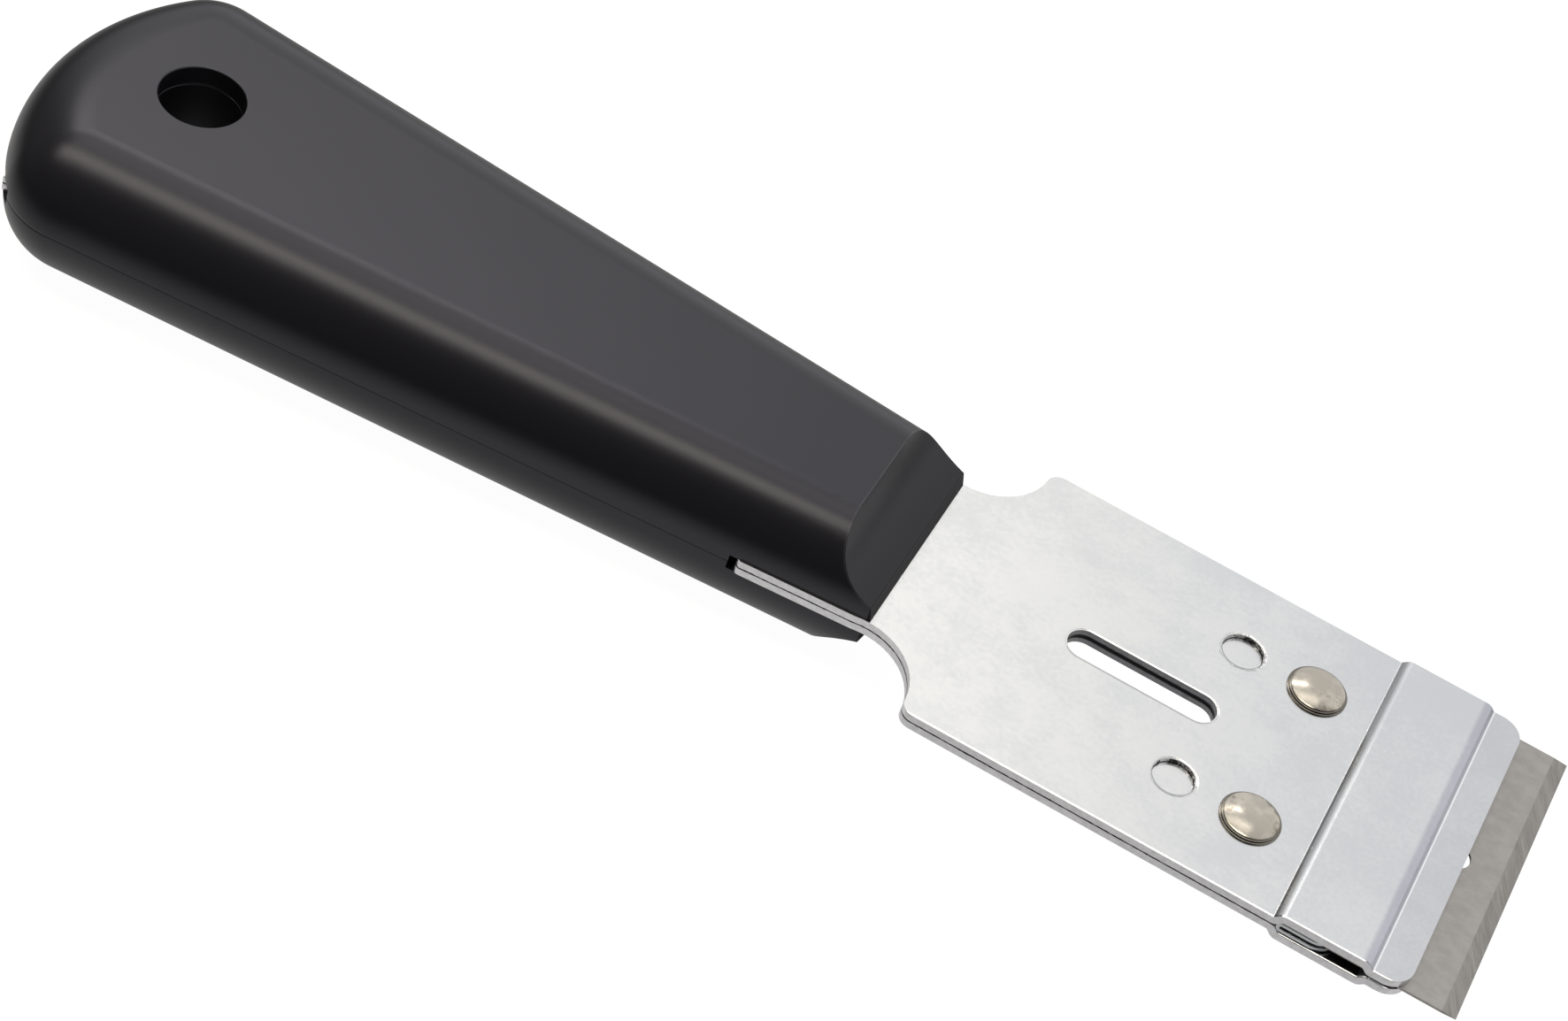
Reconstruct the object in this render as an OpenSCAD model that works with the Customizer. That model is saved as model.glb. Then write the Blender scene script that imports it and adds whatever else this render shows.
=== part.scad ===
// Window scraper with a replaceable blade: two stepped steel plates grip a folded
// spring leaf and the blade, and their full-length tang is closed in a moulded grip.
// X runs along the tool with the cutting edge at +X, Y runs across it, and Z is up
// from the flat underside of the grip. All sizes are in millimetres, and every
// distance along the tool is measured back from the cutting edge.

/* [Overall] */
// Length from the cutting edge to the end of the grip
overall_l = 176.9; // [172:0.1:182]

/* [Blade] */
// Width of the blade, which is the length of its cutting edge
blade_w = 40; // [38:0.5:40.5]
// Depth of the blade from the cutting edge to its back
blade_depth = 19; // [17.5:0.25:19]
// Thickness of the blade
blade_t = 0.3; // [0.25:0.01:0.34]
// Width of each ground face behind the cutting edge
grind_w = 1.6; // [1:0.1:2.5]
// Thickness left at the cutting edge
edge_t = 0.04; // [0.02:0.01:0.08]
// Radius of the hole in the blade
blade_hole_r = 1.7; // [1.2:0.1:1.8]
// Distance of the blade's hole from the cutting edge
blade_hole_at = 6.7; // [6.6:0.1:7.6]

/* [Plates] */
// Thickness of each steel plate
plate_t = 0.9; // [0.75:0.05:0.95]
// Gap between the two plates
plate_gap = 0.1; // [0.06:0.02:0.2]
// Width of the plates where they hold the blade
plate_w = 41.6; // [40.6:0.2:43]
// How far the blade stands out of the plates
reach = 5.6; // [5.2:0.1:6]
// Gap between the two lips, in which the blade lies
lip_gap = 0.4; // [0.36:0.02:0.46]
// Radius of the lips' front corners
lip_corner_r = 2.6; // [1.5:0.1:4]
// Distance of the rear bend of the pocket from the cutting edge
pocket_rear = 20.4; // [20.3:0.1:21.4]
// Distance of the front bend of the pocket from the cutting edge
pocket_front = 9.3; // [9:0.05:10]
// Height by which each plate steps out to make the pocket
pocket_step = 0.8; // [0.75:0.05:1.1]
// Slope of the bends from flat
bend_angle = 45; // [38:1:50]
// Radius of the bends on the plate's middle line
bend_r = 0.62; // [0.55:0.01:0.65]
// Radius of the shoulders' corners
shoulder_r = 1.6; // [0.8:0.1:3]
// Radius of the notches beside the neck
notch_r = 7.3; // [6.6:0.1:7.6]
// Depth by which the notches cut into the neck's sides
notch_bite = 0.05; // [0.03:0.01:0.2]

/* [Holes in the plates] */
// Width of the long slot
slot_w = 4; // [3:0.1:5]
// Distance of the slot's front end from the cutting edge
slot_front = 34.7; // [33:0.1:38]
// Distance of the slot's rear end from the cutting edge
slot_rear = 52; // [48:0.2:56]
// Distance of the locating buttons from the cutting edge
button_at = 35.5; // [34.5:0.1:37.5]
// Distance of the rivets from the cutting edge
rivet_at = 26.8; // [25.8:0.1:27.8]
// Distance of the buttons and the rivets from the middle line
row_y = 10.5; // [9:0.1:13]
// Radius of the holes for the buttons
button_hole_r = 2.32; // [2:0.02:2.6]
// Clearance of the buttons in their holes
button_fit = 0.08; // [0.05:0.01:0.1]
// Height by which the buttons are pressed out of the lower plate
button_h = 0.5; // [0.4:0.05:0.6]

/* [Rivets] */
// Radius of the rivet's shank
rivet_r = 1.9; // [1.5:0.05:2.2]
// Clearance of the shank in the plates
rivet_fit = 0.03; // [0.02:0.01:0.08]
// Radius of the rivet's head
head_r = 3.35; // [2.9:0.05:3.7]
// Height of each of the two rims under the dome of the head
rim_h = 0.25; // [0.15:0.05:0.35]
// Width of the ledge inside the edge of each rim
ledge_w = 0.17; // [0.1:0.01:0.3]
// Height of the dome above its rims
dome_h = 0.6; // [0.5:0.05:0.9]
// Radius of the hollow in the clinched end of the rivet
clinch_r = 1.2; // [0.8:0.1:1.4]

/* [Spring leaf] */
// Thickness of the spring leaf
leaf_t = 0.42; // [0.35:0.01:0.46]
// Gap between the arms of the leaf, which takes the blade
leaf_gap = 0.38; // [0.36:0.01:0.44]
// Length of the leaf from its fold to its open end
leaf_l = 6.6; // [6:0.05:7.5]
// Clearance of the leaf's fold where it lies against the pocket's rear slopes
leaf_seat = 0.03; // [0.02:0.01:0.1]
// Radius of the leaf's front corners
leaf_corner_r = 3; // [2:0.25:4]
// How far the leaf stays inside the plates' sides
leaf_inset = 0.1; // [0.05:0.05:0.4]

/* [Tang] */
// How far the tang's wide front stands out of the grip's sides
neck_proud = 0.2; // [0.05:0.05:0.3]
// Length of the tang's wide front inside the grip
neck_l = 15.2; // [12:0.2:18]
// Room left in the grip behind the tang's wide front
neck_gap = 1; // [0.3:0.1:1.5]
// Radius of the corners at the back of the wide front
neck_corner_r = 1; // [0.5:0.1:1.5]
// Width of the grip's rim beside the tang
rim_w = 2.2; // [1.8:0.1:3]
// How far the corners of the tang's end stand out of the grip's end
tang_proud = 0.25; // [0.1:0.05:0.4]
// Radius of the tang's end, seen from above
tang_end_r = 32.8; // [31:0.2:40]
// Radius of the corners at the tang's end
tang_corner_r = 1.6; // [0.8:0.1:2]
// Clearance around the tang in the grip
seat_fit = 0.1; // [0.05:0.01:0.2]

/* [Grip] */
// Thickness of the closed grip
grip_t = 17.8; // [17.8:0.2:19]
// Distance of the grip's front from the cutting edge
grip_front = 69.9; // [68.5:0.1:71.5]
// Half width of the grip at its front
front_hw = 12.2; // [12:0.1:12.8]
// Half width of the grip at its wide end
end_hw = 20.4; // [19.6:0.1:21]
// Radius of the grip's end, seen from above
end_r = 29.3; // [26:0.1:32]
// Radius of the grip's edges at its front
front_edge_r = 7.2; // [5:0.1:8]
// Radius of the grip's edges at its wide end
end_edge_r = 8.6; // [7.5:0.1:8.8]
// Height of the grip's front face above the plate
nose_h = 1.7; // [1.4:0.05:2.4]
// How far the front face leans back
nose_lean = 0.45; // [0.2:0.05:0.8]
// Length of the scoop at the front of the grip, from the front face
scoop_l = 6.4; // [5.5:0.1:7.5]
// Radius of the scoop's hollow
scoop_r = 9.3; // [8.5:0.1:20]
// Radius of the hang hole
hang_r = 4.7; // [4.2:0.1:5]
// Distance of the hang hole from the grip's end
hang_inset = 17.7; // [16.7:0.1:19.9]
// Radius of the tube around the hang hole
tube_r = 6.4; // [6:0.1:6.8]
// Depth of the tube's end below the upper face
tube_depth = 2.5; // [2.2:0.1:3.2]
// Thickness of the grip's walls
wall_t = 2.4; // [2:0.1:2.8]

/* [Grip inside] */
// Number of hollow bays along each side of a half
bays = 5; // [3:1:6]
// Thickness of the ribs between the bays
rib_t = 1.6; // [1.2:0.1:2.2]
// Length left solid between the seat of the tang's wide front and the first bay
bay_start = 2.9; // [2.2:0.1:5]
// Length left solid between the last bay and the tube
bay_stop = 2.8; // [2:0.1:5]
// Radius of the locating posts of the lower half
post_r = 2.5; // [2:0.1:3]
// Height of the posts above the middle of the grip
post_h = 5; // [4:0.2:5.4]
// Clearance of the posts in their sockets
post_fit = 0.05; // [0.03:0.01:0.1]
// Thickness of the wall around each post's socket
boss_t = 1.6; // [1.2:0.1:2]

/* [Hidden] */

grip_h = grip_t / 2;
stack_h = plate_t + plate_gap / 2;
lip_z = lip_gap / 2 + plate_t / 2;
tang_z = plate_gap / 2 + plate_t / 2;
pocket_z = tang_z + pocket_step;
end_at = overall_l - end_r;
corner_a = asin((end_hw - end_edge_r) / (end_r - end_edge_r));
corner_at = end_at + (end_r - end_edge_r) * cos(corner_a);
side_slope = (end_hw - front_hw) / (corner_at - grip_front);
notch_y = front_hw + neck_proud - notch_bite + notch_r;
shoulder_at = grip_front + shoulder_r
    - sqrt(pow(notch_r + shoulder_r, 2) - pow(plate_w / 2 - shoulder_r - notch_y, 2));
neck_back = grip_front + neck_l;
hang_at = overall_l - hang_inset;
bay_front = neck_back + neck_gap + bay_start;
bay_rear = hang_at - tube_r - bay_stop;
tang_end_hw = end_hw - rim_w;
tang_corner_at = end_at + sqrt(pow(end_r + tang_proud, 2) - pow(tang_end_hw, 2));
tang_arc_at = tang_corner_at - sqrt(pow(tang_end_r, 2) - pow(tang_end_hw, 2));
leaf_h = 2 * leaf_t + leaf_gap;
slope_x = (bend_r + plate_t / 2) * sin(bend_angle);
slope_z = plate_gap / 2 + (bend_r + plate_t / 2) * (1 - cos(bend_angle));
fold_at = pocket_rear - slope_x
    - (leaf_h / 2 + leaf_seat - slope_z * cos(bend_angle)) / sin(bend_angle);
leaf_front = fold_at + leaf_h / 2 - leaf_l;
bay_l = (bay_rear - bay_front + rib_t) / bays - rib_t;
post_places = [for (i = [1, bays - 1]) bay_front + i * (bay_l + rib_t) - rib_t / 2];
over = 1;
$fn = 64;

// Place along X of a point at distance d from the cutting edge
function at(d) = overall_l / 2 - d;
// Half width of the grip's straight side at distance d from the cutting edge
function side_hw(d) = front_hw + (d - grip_front) * side_slope;
// Rise and run of one bend pair that climbs by rise
function ramp_l(rise) = (rise - 2 * bend_r * (1 - cos(bend_angle))) / sin(bend_angle);
function bend_run(rise) = 2 * bend_r * sin(bend_angle) + ramp_l(rise) * cos(bend_angle);
// Middle line of the sheet through one bend pair, as [x, z, slope]
function bend_path(x, z, rise, s, steps = 6) = concat(
    [for (i = [0:steps]) let (a = bend_angle * i / steps)
        [x + bend_r * sin(a), z + s * bend_r * (1 - cos(a)), s * a]],
    [for (i = [steps:-1:0]) let (a = bend_angle * i / steps)
        [x + bend_run(rise) - bend_r * sin(a), z + s * (rise - bend_r * (1 - cos(a))), s * a]]);

// Middle line of the whole upper plate from the tang's end to the lip
function plate_path() = concat(
    [[at(overall_l + over), tang_z, 0]],
    bend_path(at(pocket_rear), tang_z, pocket_step, 1),
    bend_path(at(pocket_front) - bend_run(pocket_z - lip_z), pocket_z, pocket_z - lip_z, -1),
    [[at(reach), lip_z, 0]]);

// Sheet of thickness t laid along a middle line
module sheet_profile(path, t) {
    polygon(concat(
        [for (p = path) [p[0] - sin(p[2]) * t / 2, p[1] + cos(p[2]) * t / 2]],
        [for (i = [len(path) - 1:-1:0]) let (p = path[i])
            [p[0] + sin(p[2]) * t / 2, p[1] - cos(p[2]) * t / 2]]));
}

// What a rounded corner of radius r takes off a square one, at the origin
module corner_waste(r) {
    difference() {
        translate([-r, -r])
            square(r + over);
        translate([-r, -r])
            circle(r);
    }
}

// Both sides of a shape that is drawn for +Y
module both_sides() {
    children();
    mirror([0, 1, 0])
        children();
}

// Polygon from its outline on the +Y side, which is repeated on the other
module symmetric_polygon(points) {
    polygon(concat(points, [for (i = [len(points) - 1:-1:0]) [points[i][0], -points[i][1]]]));
}

// Outline of the tang on its +Y side, grown by g: a narrow tail and a wide front that
// reaches back to distance back
function tang_points(g, back) = [
    [at(overall_l + over), tang_end_hw + g],
    [at(corner_at), tang_end_hw + g],
    [at(back), side_hw(back) - rim_w + g],
    [at(back), side_hw(back) + neck_proud + g],
    [at(grip_front), front_hw + neck_proud + g]];

// What the rounded corners of the wide front take off an outline grown by g
module neck_waste(g, back) {
    both_sides()
        translate([at(back), side_hw(back) + neck_proud + g])
            mirror([1, 0])
                corner_waste(neck_corner_r + g);
}

// What the rounded end takes off the tang's straight outline
module tang_end_waste() {
    difference() {
        translate([at(overall_l) - 2 * over, -end_hw])
            square([end_r, 2 * end_hw]);
        translate([at(tang_arc_at), 0])
            circle(tang_end_r, $fn = 160);
    }
    both_sides()
        translate([at(tang_corner_at), tang_end_hw])
            mirror([1, 0])
                corner_waste(tang_corner_r);
}

// Flat outline of the seat that takes the tang in the grip, open at the grip's end
module seat_outline() {
    back = neck_back + neck_gap;
    difference() {
        symmetric_polygon(concat(tang_points(seat_fit, back),
                                 [[at(grip_front) + over, front_hw + neck_proud + seat_fit]]));
        neck_waste(seat_fit, back);
    }
}

// Flat outline of a whole plate, tang included
module plate_outline() {
    difference() {
        symmetric_polygon(concat(tang_points(0, neck_back), [[at(grip_front), notch_y],
                                                             [at(shoulder_at), notch_y],
                                                             [at(shoulder_at), plate_w / 2],
                                                             [at(reach), plate_w / 2]]));
        neck_waste(0, neck_back);
        tang_end_waste();
        both_sides() {
            translate([at(reach), plate_w / 2])
                corner_waste(lip_corner_r);
            translate([at(shoulder_at), plate_w / 2])
                mirror([1, 0])
                    corner_waste(shoulder_r);
            translate([at(grip_front), notch_y])
                circle(notch_r);
        }
    }
}

// Places of the things that come as a pair, at distance d from the cutting edge
module row_pair(d) {
    for (s = [-1, 1])
        translate([at(d), s * row_y])
            children();
}

module slot_outline() {
    for (d = [slot_front + slot_w / 2, slot_rear - slot_w / 2])
        translate([at(d), 0])
            circle(slot_w / 2);
    translate([at(slot_rear - slot_w / 2), -slot_w / 2])
        square([slot_rear - slot_front - slot_w, slot_w]);
}

// Stepped plate with the holes that both plates share and those that are added as
// children, above the middle of the grip
module stepped_plate() {
    difference() {
        intersection() {
            rotate([90, 0, 0])
                linear_extrude(height = plate_w + 2 * over, center = true)
                    sheet_profile(plate_path(), plate_t);
            linear_extrude(height = pocket_z + over)
                plate_outline();
        }
        linear_extrude(height = grip_h) {
            slot_outline();
            row_pair(rivet_at)
                circle(rivet_r + rivet_fit);
            translate([at(hang_at), 0])
                circle(tube_r + seat_fit);
            for (d = post_places)
                translate([at(d), 0])
                    circle(post_r + seat_fit);
            children();
        }
    }
}

module plate_upper() {
    color("gainsboro")
        translate([0, 0, grip_h])
            stepped_plate()
                row_pair(button_at)
                    circle(button_hole_r);
}

// The buttons are pressed half out of the lower plate, which leaves a dent under each
module plate_lower() {
    button_r = button_hole_r - button_fit;
    color("gainsboro")
        translate([0, 0, grip_h]) {
            difference() {
                mirror([0, 0, 1])
                    stepped_plate();
                row_pair(button_at)
                    translate([0, 0, -stack_h - over])
                        cylinder(h = button_h + over, r = button_r);
            }
            row_pair(button_at)
                translate([0, 0, -plate_gap / 2 - (plate_t - button_h) / 2])
                    cylinder(h = button_h + (plate_t - button_h) / 2, r = button_r);
        }
}

// Rounded cap of base radius r and height h
module dome(r, h) {
    ball_r = (r * r + h * h) / (2 * h);
    intersection() {
        translate([0, 0, h - ball_r])
            sphere(ball_r, $fn = 96);
        cylinder(h = h, r = r + over);
    }
}

// One side of the rivet: two stepped rims and the dome
module rivet_head() {
    cylinder(h = rim_h, r = head_r);
    cylinder(h = 2 * rim_h, r = head_r - ledge_w);
    translate([0, 0, 2 * rim_h])
        dome(head_r - 2 * ledge_w, dome_h);
}

// Rivet with a domed head above and a clinched, hollow end below
module rivet(side) {
    color("silver")
        translate([at(rivet_at), side * row_y, grip_h])
            difference() {
                union() {
                    translate([0, 0, -stack_h - over / 2])
                        cylinder(h = 2 * stack_h + over, r = rivet_r);
                    translate([0, 0, stack_h])
                        rivet_head();
                    translate([0, 0, -stack_h])
                        mirror([0, 0, 1])
                            rivet_head();
                }
                translate([0, 0, -stack_h - 2 * rim_h - dome_h - over])
                    cylinder(h = over + dome_h + 2 * rim_h + stack_h, r = clinch_r);
            }
}

// Folded leaf: two flat arms joined by a half-round fold that points to the grip
module spring_leaf() {
    w = plate_w - 2 * leaf_inset;
    arm_l = fold_at - leaf_front;
    color("lightsteelblue")
        translate([0, 0, grip_h])
            intersection() {
                rotate([90, 0, 0])
                    linear_extrude(height = w, center = true)
                        translate([at(fold_at), 0])
                            difference() {
                                union() {
                                    circle(leaf_h / 2);
                                    translate([0, -leaf_h / 2])
                                        square([arm_l, leaf_h]);
                                }
                                circle(leaf_gap / 2);
                                translate([0, -leaf_gap / 2])
                                    square([arm_l + over, leaf_gap]);
                            }
                linear_extrude(height = 2 * leaf_h, center = true)
                    difference() {
                        translate([at(leaf_front + leaf_l) - over, -w / 2])
                            square([leaf_l + over, w]);
                        both_sides()
                            translate([at(leaf_front), w / 2])
                                corner_waste(leaf_corner_r);
                    }
            }
}

module blade() {
    color("darkgray")
        translate([0, 0, grip_h])
            difference() {
                rotate([90, 0, 0])
                    linear_extrude(height = blade_w, center = true)
                        polygon([[at(blade_depth), -blade_t / 2], [at(grind_w), -blade_t / 2],
                                 [at(0), -edge_t / 2], [at(0), edge_t / 2],
                                 [at(grind_w), blade_t / 2], [at(blade_depth), blade_t / 2]]);
                translate([at(blade_hole_at), 0, -over])
                    cylinder(h = 2 * over, r = blade_hole_r);
            }
}

// Half of a rounded section: w wide and h high, with its outer top corner rounded
module edge_profile(w, h, r) {
    square([w - r, h]);
    square([w, h - r + 0.001]);
    intersection() {
        translate([w - r, h - r])
            circle(r, $fn = 48);
        square([w, h]);
    }
}

// Smooth upper half of the grip above its middle, with its walls set in by i
module grip_form(i = 0) {
    hull() {
        translate([at(grip_front), 0, 0])
            rotate([90, 0, -90])
                linear_extrude(height = 0.1)
                    both_halves()
                        edge_profile(front_hw - i, grip_h - i, front_edge_r - i);
        translate([at(end_at), 0, 0])
            rotate([0, 0, 180 - corner_a])
                rotate_extrude(angle = 2 * corner_a, $fn = 100)
                    edge_profile(end_r - i, grip_h - i, end_edge_r - i);
        both_sides()
            translate([at(corner_at), end_hw - end_edge_r, 0])
                rotate_extrude($fn = 48)
                    edge_profile(end_edge_r - i, grip_h - i, end_edge_r - i);
    }
}

// Both sides of a section that is drawn for +X
module both_halves() {
    children();
    mirror([1, 0])
        children();
}

// What the front takes off the upper half: a steep low face and a hollow scoop above it
module nose_waste() {
    foot = [at(grip_front + nose_lean), stack_h + nose_h];
    brow = [at(grip_front + scoop_l), grip_h];
    chord = norm(brow - foot);
    rise = sqrt(pow(scoop_r, 2) - pow(chord / 2, 2));
    middle = (foot + brow) / 2 + rise / chord * [brow[1] - foot[1], foot[0] - brow[0]];
    rotate([90, 0, 0])
        linear_extrude(height = 2 * end_hw, center = true) {
            polygon([[at(grip_front), -over],
                     [at(grip_front), stack_h],
                     foot,
                     [at(grip_front) + over, foot[1]],
                     [at(grip_front) + over, -over]]);
            intersection() {
                translate(middle)
                    circle(scoop_r, $fn = 120);
                translate([brow[0] - over, foot[1]])
                    square([scoop_l + 2 * over, grip_h]);
            }
        }
}

// Hollow bays of one half, in two rows beside a middle rib, clear of the bosses
module bay_waste(h) {
    difference() {
        intersection() {
            grip_form(wall_t);
            for (i = [0:bays - 1])
                both_sides()
                    translate([at(bay_front + i * (bay_l + rib_t) + bay_l), rib_t / 2, -over])
                        cube([bay_l, end_hw, h + over]);
        }
        for (d = post_places)
            translate([at(d), 0, 0])
                cylinder(h = grip_t, r = post_r + boss_t);
    }
}

// Half of the grip with its seat for one plate, without what locates the halves
module grip_half() {
    difference() {
        grip_form();
        nose_waste();
        translate([0, 0, -over])
            linear_extrude(height = stack_h + over)
                seat_outline();
        bay_waste(grip_h);
    }
}

module grip_upper() {
    color("dimgray")
        translate([0, 0, grip_h])
            difference() {
                grip_half();
                translate([at(hang_at), 0, -over])
                    cylinder(h = grip_t, r = hang_r);
                translate([at(hang_at), 0, -over])
                    cylinder(h = grip_h - tube_depth + over + post_fit, r = tube_r + post_fit);
                for (d = post_places)
                    translate([at(d), 0, -over])
                        cylinder(h = post_h + post_fit + over, r = post_r + post_fit);
            }
}

module grip_lower() {
    color("dimgray")
        translate([0, 0, grip_h])
            difference() {
                union() {
                    mirror([0, 0, 1])
                        grip_half();
                    translate([at(hang_at), 0, -grip_h / 2])
                        cylinder(h = grip_h / 2 + grip_h - tube_depth, r = tube_r);
                    for (d = post_places)
                        translate([at(d), 0, -grip_h / 2])
                            cylinder(h = grip_h / 2 + post_h, r = post_r);
                }
                translate([at(hang_at), 0, -grip_h - over])
                    cylinder(h = grip_t + 2 * over, r = hang_r);
            }
}

grip_upper();
grip_lower();
plate_upper();
plate_lower();
rivet(1);  // rivet_left
rivet(-1);  // rivet_right
spring_leaf();
blade();
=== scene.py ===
from math import asin, atan2, cos, radians, sqrt

import bmesh
import bpy
from mathutils import Euler, Matrix, Vector


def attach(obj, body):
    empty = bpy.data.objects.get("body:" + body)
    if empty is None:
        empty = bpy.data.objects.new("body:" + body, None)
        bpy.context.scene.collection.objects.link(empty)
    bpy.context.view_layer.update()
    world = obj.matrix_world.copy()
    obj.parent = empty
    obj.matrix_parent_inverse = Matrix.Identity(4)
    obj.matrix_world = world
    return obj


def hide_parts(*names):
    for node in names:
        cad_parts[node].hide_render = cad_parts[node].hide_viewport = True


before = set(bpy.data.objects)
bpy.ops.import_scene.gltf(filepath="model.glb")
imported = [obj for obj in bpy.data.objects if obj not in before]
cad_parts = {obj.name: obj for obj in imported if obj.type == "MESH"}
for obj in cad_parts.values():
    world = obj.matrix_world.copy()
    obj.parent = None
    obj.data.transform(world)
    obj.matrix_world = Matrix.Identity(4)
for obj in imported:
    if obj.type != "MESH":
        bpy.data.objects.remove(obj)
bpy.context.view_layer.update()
print("frame loaded:", len(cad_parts), "nodes")


# the whole tool; every size and place is in millimetres unless a note says otherwise

millimetre = 0.001  # in Blender's metres

tool = {
    "length": 176.9,  # cutting edge to the grip's end
    "middle": 8.9,  # height of the plates' middle plane above the grip's underside
    "platesHalf": 0.95,  # from the middle plane to the plates' upper face
    "merge": 0.0005,  # points nearer than this are one point
    "mirrorMerge": 0.0001,  # and this near to the middle they are on it
    "same": 0.001,  # what is nearer than this to a place is at it
}


def at(distance):
    # place along X of what lies this far back from the cutting edge
    return tool["length"] / 2 - distance


def allOf(bm):
    return bm.verts[:] + bm.edges[:] + bm.faces[:]


def sharpEdges(bm, angle):
    return [e for e in bm.edges if e.is_manifold and e.calc_face_angle() > radians(angle)]


def roundEdges(bm, edges, width, segments):
    bmesh.ops.bevel(bm, geom=edges, offset=width, offset_type="OFFSET", segments=segments,
                    profile=0.5, affect="EDGES", clamp_overlap=True, material=-1)


def mirrorAcross(bm):
    # the other side of the tool, joined along its middle
    bmesh.ops.mirror(bm, geom=allOf(bm), matrix=Matrix.Identity(4), merge_dist=tool["mirrorMerge"], axis="Y")
    bmesh.ops.remove_doubles(bm, verts=bm.verts[:], dist=tool["merge"])


def extendTo(bm, last, places):
    # a chain of edges from the last point through these places
    for place in places:
        last = bmesh.ops.extrude_vert_indiv(bm, verts=[last])["verts"][0]
        last.co = place
    return last


def toObject(bm, name, scale=millimetre, lift=tool["middle"]):
    bmesh.ops.recalc_face_normals(bm, faces=bm.faces[:])
    bmesh.ops.translate(bm, verts=bm.verts[:], vec=(0, 0, lift))
    bmesh.ops.scale(bm, verts=bm.verts[:], vec=(scale, scale, scale))
    mesh = bpy.data.meshes.new(name)
    bm.to_mesh(mesh)
    bm.free()
    made = bpy.data.objects.new(name, mesh)
    bpy.context.scene.collection.objects.link(made)
    return made


def smoothFaces(piece, sharp):
    for face in piece.data.polygons:
        face.use_smooth = True
    piece.data.set_sharp_from_angle(angle=radians(sharp))
    weighted = piece.modifiers.new("even normals", "WEIGHTED_NORMAL")
    weighted.keep_sharp = True
    weighted.weight = 60


def combine(piece, other, operation):
    cut = piece.modifiers.new(operation.lower(), "BOOLEAN")
    cut.operation = operation
    cut.solver = "EXACT"
    cut.object = other
    bpy.context.view_layer.update()
    done = piece.evaluated_get(bpy.context.evaluated_depsgraph_get())
    mesh = bpy.data.meshes.new_from_object(done)
    piece.modifiers.remove(cut)
    piece.data = mesh
    bpy.data.objects.remove(other)


def dress(piece, node, finish, body="holder"):
    piece.data.materials.clear()
    piece.data.materials.append(finish)
    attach(piece, body)
    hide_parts(node)


# shader maths, and the nodes of one finish

class Wire:  # wraps a socket, so that an expression on it adds its Math nodes
    def __init__(self, finish, socket):
        self.finish = finish
        self.socket = socket

    def maths(self, operation, first, second=0.0):
        return self.finish.add("ShaderNodeMath", {0: first, 1: second}, operation=operation)

    def __add__(self, other):
        return self.maths("ADD", self, other)

    def __radd__(self, other):
        return self.maths("ADD", other, self)

    def __sub__(self, other):
        return self.maths("SUBTRACT", self, other)

    def __rsub__(self, other):
        return self.maths("SUBTRACT", other, self)

    def __mul__(self, other):
        return self.maths("MULTIPLY", self, other)

    def __rmul__(self, other):
        return self.maths("MULTIPLY", other, self)

    def __pow__(self, other):
        return self.maths("POWER", self, other)

    def __abs__(self):
        return self.maths("ABSOLUTE", self)

    def atLeast(self, other):
        return self.maths("MAXIMUM", self, other)


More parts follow.
